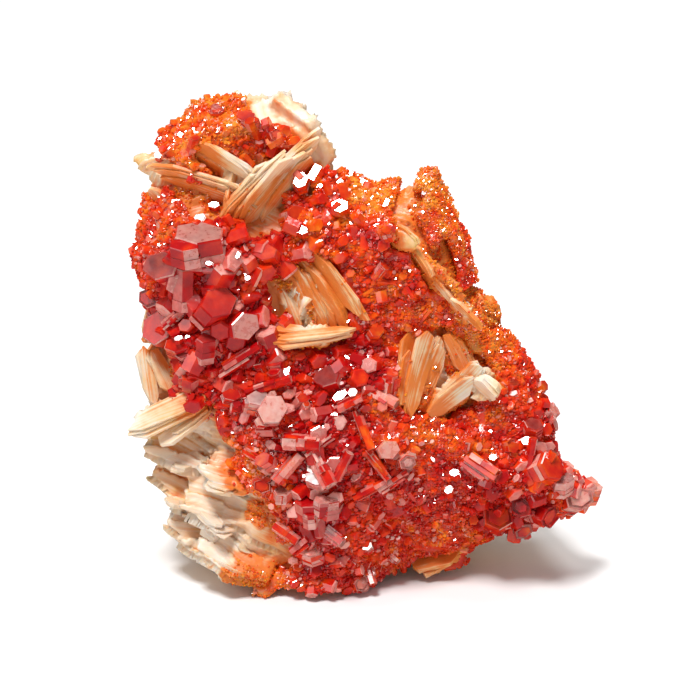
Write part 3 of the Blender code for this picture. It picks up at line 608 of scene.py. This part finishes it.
LARGE = [
    # across, up, lift, width, length, how far the end turns right and tips up, own turn;
    # an end with no turn and no tip is one that catches the lamp
    (-18.2, 45.4, 1.3, 7.2, 3.4, -6, 52, 10), (-22.2, 42.2, 0.9, 6.0, 4.4, -30, 18, 0),
    (-20.3, 40.2, 1.8, 3.6, 5.6, 8, 70, 20), (-24.4, 38.8, 0.4, 4.2, 3.2, -38, 6, 15),
    (-16.6, 37.6, 1.7, 5.6, 4.0, 24, 22, 30), (-13.6, 35.6, 1.3, 4.6, 3.6, 34, -8, 5),
    (-23.4, 34.8, 0.8, 4.4, 3.2, -34, 16, 20), (-21.0, 32.6, 1.0, 4.0, 3.0, -14, 26, 0),
    (-17.4, 32.8, 0.9, 3.6, 3.6, 10, 54, 25), (-15.4, 41.6, 1.2, 3.8, 3.0, 30, 40, 12),
    (-19.8, 28.6, 0.4, 2.6, 2.2, 6, 44, 0), (-14.6, 26.6, 1.2, 2.8, 2.6, 6, 22, 15),
    (-11.4, 26.0, 1.0, 3.0, 2.4, 12, 36, 0), (-9.6, 25.0, 1.4, 4.0, 2.0, 12, 16, 20),
    (-4.0, 16.2, 1.4, 3.0, 2.6, -10, 30, 8), (-10.2, 18.6, 1.5, 2.4, 2.8, -30, 24, 15),
    (-10.8, 15.6, 0.7, 2.4, 2.0, -4, 6, 0), (-8.2, 14.6, 0.9, 2.8, 1.6, 10, 56, 0),
    (-5.2, 12.8, 1.6, 3.4, 2.6, -10, 62, 10), (-2.2, 13.2, 1.6, 3.4, 2.6, 10, 60, 25),
    (-4.6, 6.8, 1.0, 3.0, 2.0, -8, 40, 0), (-4.6, 1.9, 0.4, 2.6, 2.4, -10, 14, 30),
    (-1.6, 2.1, 0.5, 2.4, 2.4, 16, 20, 0), (1.0, 2.9, 0.4, 2.2, 2.2, 24, 4, 10),
    (2.2, 7.6, 0.9, 1.6, 1.6, 0, 0, 15), (4.6, 20.2, 1.5, 2.8, 2.2, 10, 6, 20),
    (6.8, 18.8, 1.4, 2.6, 2.2, 18, -6, 10), (0.4, 26.9, 1.2, 1.3, 2.2, 0, 0, 30),
    (-2.6, 28.6, 0.6, 3.8, 3.0, -16, 30, 0), (5.0, 28.4, 0.9, 2.2, 3.4, 18, 60, 10),
    (-6.2, 26.0, 0.9, 2.4, 2.6, 30, 34, 0), (-11.2, 30.4, 0.6, 2.2, 2.4, -30, 40, 15),
    (-9.0, 30.2, 0.5, 3.2, 3.2, -24, 46, 5), (-6.0, 53.0, 0.8, 2.4, 1.8, 0, 0, 0),
    (-1.2, 49.8, 0.9, 2.2, 1.8, 0, 0, 10), (-18.4, 48.2, 0.7, 2.2, 1.8, 0, 0, 0),
    (-23.0, 51.8, 0.4, 2.2, 1.6, 0, 0, 20), (-7.2, 49.2, 0.8, 2.6, 2.2, 30, 6, 0),
    (-5.8, 46.9, 0.7, 1.6, 1.4, 0, 0, 25), (-10.0, 44.0, 0.9, 3.4, 2.8, -20, 22, 0),
    (-10.6, 38.6, 0.8, 2.2, 1.8, 0, 0, 15), (4.6, 46.6, 0.7, 1.8, 1.6, -22, 40, 0),
    (3.6, 42.2, 0.7, 1.6, 2.4, 46, 42, 0), (1.0, 43.6, 0.6, 1.8, 1.8, 40, 34, 0),
    (3.0, 34.4, 0.9, 2.4, 2.4, 20, 30, 10), (13.0, 17.0, 1.0, 1.5, 1.6, 0, 0, 0),
    (12.4, 14.8, 0.9, 1.4, 1.6, 0, 0, 20), (19.8, 20.4, 0.9, 2.0, 2.2, 26, 4, 0),
    (24.0, 17.6, 1.5, 4.4, 3.6, 44, 20, 5), (21.8, 12.6, 1.6, 3.2, 3.8, -14, 8, 0),
    (23.8, 12.2, 1.6, 3.6, 4.4, 38, -16, 25), (18.6, 11.2, 1.2, 4.0, 2.6, 4, 20, 0),
    (22.0, 9.8, 0.9, 3.0, 2.6, 8, -22, 15), (28.4, 13.4, 1.1, 5.0, 3.4, 20, 14, 0),
    (30.2, 14.4, 0.3, 3.4, 3.4, 16, 44, 20), (26.6, 15.6, 0.8, 3.4, 2.6, 8, 48, 0),
    (25.2, 24.4, 0.5, 2.6, 2.2, 56, 42, 10), (24.0, 27.6, 0.4, 2.2, 2.0, 60, 30, 0),
    (22.6, 22.4, 0.8, 3.0, 3.0, 14, 42, 0), (20.2, 27.8, 0.6, 1.8, 1.8, 30, 50, 15),
    (14.6, 20.8, 0.6, 1.4, 1.6, 10, 50, 0), (9.4, 12.8, 0.5, 1.2, 1.4, -46, 50, 0),
    (-23.8, 56.6, 0.4, 1.3, 1.4, 0, 0, 0), (-22.0, 56.6, 0.6, 1.8, 1.6, 20, 2, 15),
    (-19.0, 57.6, 0.5, 2.0, 1.8, 24, 50, 0), (-16.7, 50.1, 0.5, 1.5, 1.4, 0, 0, 30),
    (-12.6, 60.8, 0.6, 2.6, 2.0, -14, 32, 10), (-9.2, 58.6, 0.6, 2.4, 1.8, 26, 20, 0),
    (-16.6, 61.6, 0.3, 2.2, 1.8, 8, 42, 20), (9.2, 51.8, 0.2, 0.9, 0.9, 0, 0, 0),
    (13.4, 46.2, 0.2, 0.9, 0.9, 0, 0, 0), (14.8, 42.8, 0.2, 0.9, 0.9, 34, 48, 10),
    (22.1, 20.9, 1.2, 1.5, 1.6, 0, 0, 0), (-20.4, 43.1, 2.2, 0.9, 1.4, 0, 0, 0),
    (-17.0, 42.7, 2.0, 1.1, 1.4, 0, 0, 20), (-13.6, 43.7, 1.6, 1.0, 1.6, 0, 0, 40),
    (-21.0, 33.7, 1.6, 1.2, 1.4, 0, 0, 10), (-12.4, 41.0, 1.6, 0.8, 1.2, 0, 0, 0),
]
BARS = [
    # prisms that lie along the face: across, up, lift, width, length, heading, tip of the far end
    (-13.1, 31.8, 1.3, 1.5, 5.6, 32, 12), (-9.4, 28.2, 1.4, 1.4, 5.2, 20, 10),
    (-5.8, 21.0, 1.7, 2.2, 4.8, -4, 8), (-7.4, 18.1, 1.6, 1.8, 4.8, 50, 10),
    (-11.9, 19.5, 1.1, 1.0, 2.2, -30, 10), (0.2, 26.0, 1.7, 1.6, 3.6, 28, 14),
    (1.9, 22.2, 1.6, 1.7, 4.6, -70, 10), (-3.6, 20.8, 1.4, 1.4, 4.4, 36, 6),
    (-3.2, 17.6, 1.6, 2.0, 4.4, -62, 16), (-0.8, 18.4, 1.4, 1.6, 4.0, 64, 10),
    (3.6, 18.0, 1.5, 1.6, 4.2, -52, 6), (5.4, 16.4, 1.2, 1.3, 4.6, 34, 4),
    (2.6, 15.4, 1.2, 1.2, 5.0, 28, 4), (-7.8, 9.6, 1.4, 2.2, 3.8, -34, 12),
    (-6.2, 8.2, 1.2, 1.8, 2.8, 40, 10), (-1.9, 9.3, 1.3, 1.6, 3.0, -36, 20),
    (-4.2, 6.7, 1.1, 1.4, 2.6, -12, 16), (2.5, 4.2, 0.9, 1.7, 3.6, -72, 24),
    (5.6, 6.2, 0.7, 1.2, 1.8, -40, 20), (-8.8, 11.8, 1.0, 1.4, 2.6, -50, 10),
    (4.4, 26.6, 1.2, 1.8, 3.6, -30, 16), (16.5, 17.9, 1.6, 2.3, 5.0, -34, 22),
    (18.9, 10.9, 1.4, 1.9, 3.8, 10, 8), (24.0, 17.6, 1.5, 1.9, 6.0, 62, 10),
    (22.4, 19.8, 1.2, 1.5, 4.2, 80, 10), (-17.4, 42.2, 1.6, 1.6, 4.2, -4, 14),
    (-11.6, 41.0, 1.2, 1.1, 3.6, 64, 10), (-21.6, 36.4, 1.4, 1.6, 3.2, 40, 14),
    (-14.6, 30.2, 1.0, 1.3, 3.0, 24, 16), (-18.4, 24.6, 0.9, 1.5, 3.2, -6, 12),
    (7.4, 39.6, 0.7, 0.9, 2.4, -60, 20), (9.4, 36.8, 0.7, 0.8, 2.2, 50, 20),
]
VIEW_WIDE = 87.5  # mm of the show face from side to side of the view
VIEW_MIDDLE = 32.5  # mm up the face to the middle of the view
LENS, SENSOR = 100.0, 36.0  # mm
CAMERA_AT = face_point(0, VIEW_MIDDLE, VIEW_WIDE * LENS / SENSOR)
KEY_AT = Vector((-0.30, -0.52, 1.62))  # m: the key lamp stands high in front, to the left


def glint_axis(point):
    """The way that a face must look to throw the key lamp's light to the camera."""
    return ((CAMERA_AT - point).normalized() + (KEY_AT - point).normalized()).normalized()


def upright(axis, turn):
    """The turn that lays Z along an axis, with a turn about it."""
    return axis.to_track_quat("Z", "Y").to_matrix() @ Matrix.Rotation(turn, 3, "Z")


def facing(turn_right, tip_up, turn):
    """The turn that puts a crystal's end so far to the right and up from facing the viewer."""
    yaw, pitch = math.radians(turn_right), math.radians(tip_up)
    axis = (math.sin(yaw) * math.cos(pitch), math.sin(pitch), math.cos(yaw) * math.cos(pitch))
    return upright(FACE @ Vector(axis), math.radians(turn))


def painted_pink_chance(across, up):
    """How often an end face here is made duller and gets a painted pink reflection."""
    if across > 25:
        return 0.95  # the point at the lower right
    if -13 < across < 9 and 2 < up < 27:
        return 0.75  # the lower middle
    if -23 < across < -11 and 30 < up < 47:
        return 0.45  # the cluster of the largest crystals
    return 0.25


def in_order(faces):
    """Faces in an order that their places alone settle, so that it is the same on each run."""
    return sorted(faces, key=lambda face: sorted(vert.co[:] for vert in face.verts))


def stepped_prism(bm, width, length, painted_pink, chance):
    """Adds a hexagonal prism along Z with growth steps on its sides and its end."""
    base = bmesh.ops.create_circle(bm, cap_ends=True, segments=6, radius=width / 2)["verts"]
    bmesh.ops.translate(bm, verts=base, vec=(0, 0, -length / 2))
    verts = list(base)
    cap = base[0].link_faces[0]

    def grow(height, scale):
        """Extrudes the end by a height, or in its own plane, and scales its outline."""
        nonlocal cap
        extruded = bmesh.ops.extrude_face_region(bm, geom=[cap])["geom"]
        new = [item for item in extruded if isinstance(item, bmesh.types.BMVert)]
        cap = next(item for item in extruded if isinstance(item, bmesh.types.BMFace))
        bmesh.ops.translate(bm, verts=new, vec=(0, 0, height))
        for vert in new:
            vert.co.x *= scale
            vert.co.y *= scale
        verts.extend(new)

    left = length * 0.94
    for _ in range(chance.randint(0, 3)):
        rise = left * chance.uniform(0.2, 0.5)
        grow(rise, 1.0)
        grow(0.0, chance.choice((0.93, 0.96, 1.03)))
        left -= rise
    grow(left, 1.0)
    grow(0.03 * width, 0.93)
    if chance.random() < 0.5:
        grow(0.0, chance.uniform(0.6, 0.85))
        grow(chance.choice((-0.02, 0.03)) * width, 0.97)
    squash, skew = chance.uniform(0.6, 0.95), chance.uniform(-0.2, 0.2)
    for vert in verts:
        vert.co.y = vert.co.y * squash + skew * vert.co.x
    # The faces that get the painted pink reflection: often the end, now and then a side.
    painted_pink_reflection = bm.faces.layers.float["painted_pink_reflection"]
    end = chance.uniform(0.5, 0.95) if chance.random() < painted_pink else chance.uniform(0.0, 0.15)
    for face in in_order({face for vert in verts for face in vert.link_faces}):
        face.normal_update()
        side = chance.uniform(0.3, 0.9) if chance.random() < 0.7 * painted_pink else 0.0
        face[painted_pink_reflection] = end if abs(face.normal.z) > 0.7 else side
    if chance.random() > painted_pink:
        cap[painted_pink_reflection] = 0.0
    return sorted(verts, key=lambda vert: vert.co[:])


crystal_material = vanadinite_material("vanadinite", polish=0.07, soak=0.35, grain=0.012)
SUNK = 0.25  # share of its length by which a standing crystal is sunk
BAR_SUNK = 0.5  # mm by which a lying one is sunk


def large_crystals():
    """One mesh of all the large crystals, each with smaller ones grown parallel beside it."""
    chance = random.Random(5)
    bm = bmesh.new()
    tone_layer = bm.verts.layers.float.new("tone")
    bm.faces.layers.float.new("painted_pink_reflection")
    placed = [
        (
            across, up, lift - SUNK * length, width, length,
            facing(turn_right, tip_up, turn) if turn_right or tip_up else None,
        )
        for across, up, lift, width, length, turn_right, tip_up, turn in LARGE
    ] + [
        (
            across, up, lift - BAR_SUNK, width, length,
            laid(heading, tip, 0) @ Matrix.Rotation(math.pi / 2, 3, "Y"),
        )
        for across, up, lift, width, length, heading, tip in BARS
    ]
    for across, up, lift, width, length, turned in placed:
        place = seen_at(bed_trees + [lump_tree], across, up)
        if place is None:
            continue
        place += FACE @ Vector((0, 0, lift)) * MM
        group = [(0.0, 0.0, 0.0, 1.0)]
        beside = chance.randint(1, 4) if width < 3 else chance.randint(0, 2)
        for _ in range(0 if turned is None else beside):
            angle = chance.uniform(0, 2 * math.pi)
            aside = chance.uniform(0.25, 0.5) * width
            group.append((
                aside * math.cos(angle), aside * math.sin(angle),
                chance.uniform(-0.3, 0.12) * length, chance.uniform(0.35, 0.65),
            ))
        if turned is None:
            turned = upright(glint_axis(place), chance.uniform(0, math.pi / 3))
        tone = max(0.30 if across > 26 else 0.55, zone_at(across, up)[3])
        for x, y, z, size in group:
            long = length * MM * (0.6 + 0.4 * size)
            verts = stepped_prism(bm, width * size * MM, long, painted_pink_chance(across, up), chance)
            shift = turned @ (Vector((x, y, z)) * MM)
            matrix = Matrix.Translation(place + shift) @ turned.to_4x4()
            bmesh.ops.transform(bm, matrix=matrix, verts=verts)
            own = tone + chance.uniform(-0.15, 0.15)
            for vert in verts:
                vert[tone_layer] = clamped(own + chance.uniform(-0.2, 0.2))
    bmesh.ops.recalc_face_normals(bm, faces=bm.faces[:])
    rank = {face: number for number, face in enumerate(in_order(bm.faces))}
    bm.faces.sort(key=rank.get)
    return new_piece("large_crystals", bm)


large = large_crystals()
large.data.materials.append(crystal_material)
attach(large, "root")
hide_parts(*crust_names)


# ---------------------------------------------------------------- The small crystals
# Thousands of short prisms that stand on the beds between the large ones, from a fifth of a
# millimetre up. They are grown together there, and are blocks or fine grains.


def prism_template(chamfer):
    """A closed hexagonal prism, one wide and one high, with a chamfer round its end."""
    bm = bmesh.new()
    bmesh.ops.create_cone(bm, cap_ends=True, segments=6, radius1=0.5, radius2=0.5, depth=1)
    if chamfer:
        top = [edge for edge in bm.edges if all(vert.co.z > 0 for vert in edge.verts)]
        bmesh.ops.bevel(
            bm, geom=top, offset=chamfer, offset_type="OFFSET", segments=1, profile=0.5,
            affect="EDGES", material=-1,
        )
    mesh = bpy.data.meshes.new("prism")
    bm.to_mesh(mesh)
    bm.free()
    return mesh


def repeated(name, template, crystals, seed):
    """One piece with a copy of a template at each place, each with its own tone and painted pink
    reflection.
    """
    places, tones, painted_pink = zip(*crystals)
    count, points, corners = len(places), len(template.vertices), len(template.loops)
    co = np.empty(points * 3)
    template.vertices.foreach_get("co", co)
    co = np.c_[co.reshape(-1, 3), np.ones(points)]
    moved = np.einsum("kij,nj->kni", np.array(places)[:, :3], co)
    loops = np.empty(corners, np.int32)
    template.loops.foreach_get("vertex_index", loops)
    starts = np.empty(len(template.polygons), np.int32)
    template.polygons.foreach_get("loop_start", starts)
    copies = np.arange(count)[:, None]
    mesh = bpy.data.meshes.new(name)
    mesh.vertices.add(count * points)
    mesh.vertices.foreach_set("co", moved.ravel())
    mesh.loops.add(count * corners)
    mesh.loops.foreach_set("vertex_index", (copies * points + loops).ravel().astype(np.int32))
    mesh.polygons.add(count * len(starts))
    mesh.polygons.foreach_set("loop_start", (copies * corners + starts).ravel().astype(np.int32))
    mesh.update(calc_edges=True)
    mesh.validate()
    mesh.shade_flat()
    dice = np.random.default_rng(seed).random((count, points + len(starts)))
    mark(mesh, "tone", np.repeat(tones, points) + 0.16 * (dice[:, :points].ravel() - 0.5))
    ends = np.array([abs(polygon.normal.z) > 0.7 for polygon in template.polygons])
    dice = dice[:, points:]
    sides = (dice < 0.3) * dice * 1.6 * (np.array(painted_pink)[:, None] > 0.3)
    mark(mesh, "painted_pink_reflection", np.where(ends, np.array(painted_pink)[:, None], sides).ravel(), "FACE")
    return linked(name, mesh)


class Crowd:
    """Keeps what stands where, so that crystals aren't grown on the same spot."""

    def __init__(self, cell):
        """Starts empty, in cells about as wide, in mm, as the widest room asked for."""
        self.cell = cell
        self.kept = {}

    def near(self, point):
        """What stands in a point's cell and in the cells round it."""
        x, y, z = (math.floor(c / self.cell) for c in point)
        for i in (-1, 0, 1):
            for j in (-1, 0, 1):
                for k in (-1, 0, 1):
                    yield from self.kept.get((x + i, y + j, z + k), ())

    def free(self, point, size, share):
        """Whether there is room, which is a share of the two sizes together."""
        return all(
            (point - other).length > share * (size + other_size)
            for other, other_size in self.near(point)
        )

    def add(self, point, size):
        """Notes that something of this size now stands here."""
        key = tuple(math.floor(c / self.cell) for c in point)
        self.kept.setdefault(key, []).append((point, size))


OPEN_SIDE = 0.85  # mm from the barite, beyond which the faces of a bed are its open side


def bed_points(bed, chance, count):
    """Random places on the open side of a bed, with their normals."""
    polygons = bed.data.polygons
    for index in chance.choices(range(len(polygons)), weights=[p.area for p in polygons], k=count):
        centre = polygons[index].center.copy()
        if barite_tree.find_nearest(centre)[3] > OPEN_SIDE * MM:
            yield centre, polygons[index].normal.copy()


large_tree = tree_of(large)


def inside_large(point):
    """Whether a point is deep in a large crystal, where nothing small can show."""
    hit, normal, _, distance = large_tree.find_nearest(point)
    return (point - hit).dot(normal) < 0 and distance > 0.3 * MM


GLINTS = 0.014  # share of the small crystals that throw the key lamp's light to the camera


def stood(point, normal, size, stretch, sink, chance):
    """Where a small crystal stands: its foot sunk in the bed, its end leaning any way."""
    wild = Vector([chance.gauss(0, 1) for _ in range(3)]).normalized()
    axis = (normal * chance.uniform(0.3, 1.5) + wild).normalized()
    turned = upright(axis, chance.uniform(0, math.pi / 3))
    if chance.random() < GLINTS:
        bright = (glint_axis(point) + wild * 0.06).normalized()
        along = bright.cross(wild).normalized()
        if chance.random() < 0.4:
            turned = upright(bright, chance.uniform(0, math.pi / 3))
        else:
            turned = Matrix((bright, along.cross(bright), along)).transposed()
    scale = Matrix.Diagonal((size, size * chance.uniform(0.5, 1.0), size * stretch)) * MM
    foot = point + normal * size * (chance.uniform(0, 0.45) - sink) * MM
    return Matrix.Translation(foot) @ (turned @ scale).to_4x4()


def patch_tone(place, tone):
    """The tone of the crystals at a place, which drifts a little from patch to patch."""
    return tone + 0.30 * noise.noise(place / 1.7) - 0.02


def small_crystals(bed, seed, tries):
    """The blocks of one bed, and then the fine grains that fill the room between them."""
    chance = random.Random(seed)
    tried = []
    for point, normal in bed_points(bed, chance, tries[0]):
        place = on_face(point)
        _, size, share, tone = zone_at(place.x, place.y)
        if chance.random() < share:
            tried.append((size * (0.4 + 0.9 * chance.random() ** 2), point, normal, tone, place))
    tried.sort(key=lambda one: -one[0])
    crowd, fine_crowd = Crowd(3.0), Crowd(0.9)
    blocks, fine = [], []
    for size, point, normal, tone, place in tried:
        if crowd.free(place, size, 0.42) and not inside_large(point):
            crowd.add(place, size)
            # Some blocks get the painted pink reflection.
            often = painted_pink_chance(place.x, place.y) * 0.7
            painted_pink = chance.uniform(0.4, 0.9) if chance.random() < often else 0.0
            stretch = chance.uniform(0.5, 1.5)
            matrix = stood(point, normal, size, stretch, 0.3 * stretch, chance)
            own = clamped(patch_tone(place, tone) + chance.uniform(-0.1, 0.1))
            blocks.append((matrix, own, painted_pink))
    for point, normal in bed_points(bed, chance, tries[1]):
        place = on_face(point)
        size, _, _, tone = zone_at(place.x, place.y)
        size *= chance.uniform(0.7, 1.6)
        if not fine_crowd.free(place, size, 0.30) or not crowd.free(place, 0.0, 0.34):
            continue
        if inside_large(point):
            continue
        fine_crowd.add(place, size)
        # A few fine grains get the painted pink reflection too.
        painted_pink = chance.uniform(0.3, 0.8) if chance.random() < 0.10 else 0.0
        matrix = stood(point, normal, size, chance.uniform(0.7, 1.5), 0.25, chance)
        own = clamped(patch_tone(place, tone) + chance.uniform(-0.06, 0.06))
        fine.append((matrix, own, painted_pink))
    return blocks, fine


block_template, grain_template = prism_template(0.07), prism_template(0.0)
SMALL = {
    # seed, places tried for blocks and for fine grains
    "vanadinite_crust": (21, (30000, 260000)),
    "vanadinite_crown_crust": (22, (5000, 36000)),
    "vanadinite_shoulder_crust": (23, (5000, 40000)),
}
PIECE_LIMIT = 9000  # crystals to a piece, which keeps its triangles under 200,000
templates = (block_template, grain_template)
for node, (seed, tries) in SMALL.items():
    grown = small_crystals(beds[node], seed, tries)
    for kind, template, crystals in zip(("blocks", "grains"), templates, grown):
        for part, start in enumerate(range(0, len(crystals), PIECE_LIMIT), 1):
            name = node.replace("crust", kind) + f"_{part}"
            druse = repeated(name, template, crystals[start:start + PIECE_LIMIT], seed)
            druse.data.materials.append(crystal_material)
            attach(druse, "root")
            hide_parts(node)


# ---------------------------------------------------------------- The orange grains
# Single grains of young vanadinite, under half a millimetre across. They are scattered on
# the bare barite near the crusts and on its tablets.

GRAIN_SIZES = (0.15, 0.45)  # mm


def speckles(surface, seed, count):
    """Grains on a barite surface, thick where it is dusted and thinning out from the crusts."""
    chance = random.Random(seed)
    polygons = surface.data.polygons
    stain_and_shade = surface.data.attributes["stain_and_shade"].data
    weights = [
        polygon.area * max(0.0, stain_and_shade[polygon.vertices[0]].value - 0.5) ** 2 for polygon in polygons
    ]
    made = []
    for index in chance.choices(range(len(polygons)), weights=weights, k=count):
        point, normal = polygons[index].center, polygons[index].normal
        place = on_face(point)
        if chance.random() > 0.35 + 1.8 * noise.noise(place / 2.5) + dusted(place):
            continue
        size = chance.uniform(*GRAIN_SIZES)
        matrix = stood(point, normal, size, chance.uniform(0.5, 1.1), 0.2, chance)
        made.append((matrix, chance.uniform(0.0, 0.35), 0.0))
    return made


scattered = speckles(lump, 31, 16000) + speckles(tablet_pieces[0], 32, 1500)
speckle = repeated("orange_grains", grain_template, scattered, 33)
speckle.data.materials.append(crystal_material)
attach(speckle, "root")
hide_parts(*crust_names)


# ---------------------------------------------------------------- Floor, light and camera
# A white table in soft light from all round. The key lamp makes the glints, a weaker lamp
# hangs overhead, and a pale panel at the left shows only in what shines.

FLOOR_HALF = 0.5  # m from the middle of the table to its edge
bm = bmesh.new()
bmesh.ops.create_grid(bm, x_segments=1, y_segments=1, size=FLOOR_HALF)
floor = new_piece("floor", bm)
floor_material, nodes, links, principled = shader("white_table", Roughness=0.6)
rays = nodes.new("ShaderNodeLightPath")
pale = nodes.new("ShaderNodeMix")
pale.data_type = "RGBA"
pale.inputs["A"].default_value = (0.94, 0.94, 0.94, 1)
pale.inputs["B"].default_value = (0.12, 0.12, 0.12, 1)
links.new(rays.outputs["Is Glossy Ray"], pale.inputs["Factor"])
links.new(pale.outputs["Result"], principled.inputs["Base Color"])
floor.data.materials.append(floor_material)

camera = linked("camera", bpy.data.cameras.new("camera"))
camera.data.lens = LENS
camera.data.sensor_width = SENSOR
camera.data.clip_start = 0.01
camera.location = CAMERA_AT
camera.rotation_euler = (math.radians(90) - LEAN, 0, 0)
bpy.context.scene.camera = camera

LAMPS_AIM = Vector((0, 0, 0.03))  # m


def lamp(name, place, size, watts):
    """A round soft lamp of a size in metres, turned towards the middle of the piece."""
    light = bpy.data.lights.new(name, "AREA")
    light.shape = "DISK"
    light.size = size
    light.energy = watts
    made = linked(name, light)
    made.location = place
    made.rotation_euler = (LAMPS_AIM - place).to_track_quat("-Z", "Y").to_euler()


lamp("key", KEY_AT, size=0.50, watts=28.0)
lamp("overhead", Vector((0.10, 0.25, 1.60)), size=0.60, watts=8.0)

world = bpy.data.worlds.new("studio")
bpy.context.scene.world = world
world.use_nodes = True
nodes, links = world.node_tree.nodes, world.node_tree.links
background = nodes["Background"]
coordinates = nodes.new("ShaderNodeTexCoord")
aside = nodes.new("ShaderNodeVectorMath")
aside.operation = "DOT_PRODUCT"
aside.inputs[1].default_value = (-0.80, -0.45, 0.40)
links.new(coordinates.outputs["Generated"], aside.inputs[0])
# what shines sees the panel, the camera sees plain white, and all else gets a soft grey
panel = ramp(nodes, (0.84, (0.03, 0.03, 0.03)), (0.92, (0.55, 0.55, 0.55)))
links.new(aside.outputs["Value"], panel.inputs["Fac"])
rays = nodes.new("ShaderNodeLightPath")
soft = nodes.new("ShaderNodeMix")
soft.data_type = "RGBA"
soft.inputs["A"].default_value = (0.18, 0.18, 0.18, 1)
links.new(rays.outputs["Is Glossy Ray"], soft.inputs["Factor"])
links.new(panel.outputs["Color"], soft.inputs["B"])
seen = nodes.new("ShaderNodeMix")
seen.data_type = "RGBA"
seen.inputs["B"].default_value = (1, 1, 1, 1)
links.new(rays.outputs["Is Camera Ray"], seen.inputs["Factor"])
links.new(soft.outputs["Result"], seen.inputs["A"])
links.new(seen.outputs["Result"], background.inputs["Color"])
background.inputs["Strength"].default_value = 1.8

view = bpy.context.scene.view_settings
view.view_transform = "Standard"
